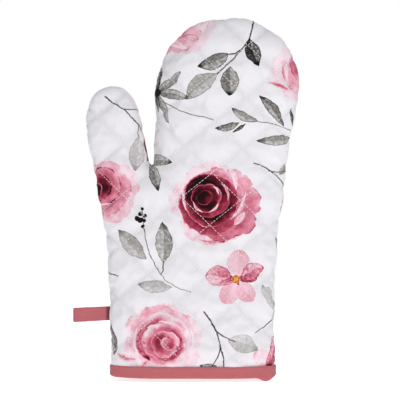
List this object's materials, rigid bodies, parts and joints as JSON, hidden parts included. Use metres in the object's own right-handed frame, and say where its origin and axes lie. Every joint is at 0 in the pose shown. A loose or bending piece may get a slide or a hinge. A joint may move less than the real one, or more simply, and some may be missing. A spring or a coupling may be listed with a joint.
{
  "type": "oven mitt",
  "caption": "Quilted cotton oven mitt with one thumb, a folded tape binding round the open cuff and a tape hanging loop in the side seam.",
  "frame": {"origin": "on the ground under the cuff binding, at the middle of the whole width, hanging loop included", "axes": "+Z from the open cuff to the fingertips, -Y out of the printed palm side, -X towards the thumb and the loop"},
  "size_m": [0.1886, 0.052, 0.3009],
  "materials": {
    "printed_cotton": "matte",
    "batting": "matte",
    "lining": "matte",
    "white_thread": "satin",
    "rose_tape": "matte",
    "rose_thread": "satin"
  },
  "bodies": {
    "mitt": {"outer_shell_front": "printed_cotton", "outer_shell_back": "printed_cotton", "batting_front": "batting", "batting_back": "batting", "lining_front": "lining", "lining_back": "lining", "quilting_thread_front": "white_thread", "quilting_thread_back": "white_thread", "side_seam_thread": "white_thread", "cuff_binding": "rose_tape", "binding_stitch_outside": "rose_thread", "binding_stitch_inside": "rose_thread"},
    "loop": {"hanging_loop": "rose_tape", "loop_stitch": "rose_thread"}
  },
  "joints": [
    {"name": "loop_swing", "type": "hinge", "parent": "mitt", "child": "loop", "pos_m": [-0.06419, 0, 0.0555], "axis": [0, 0, 1], "range_deg": [-80, 80]}
  ]
}
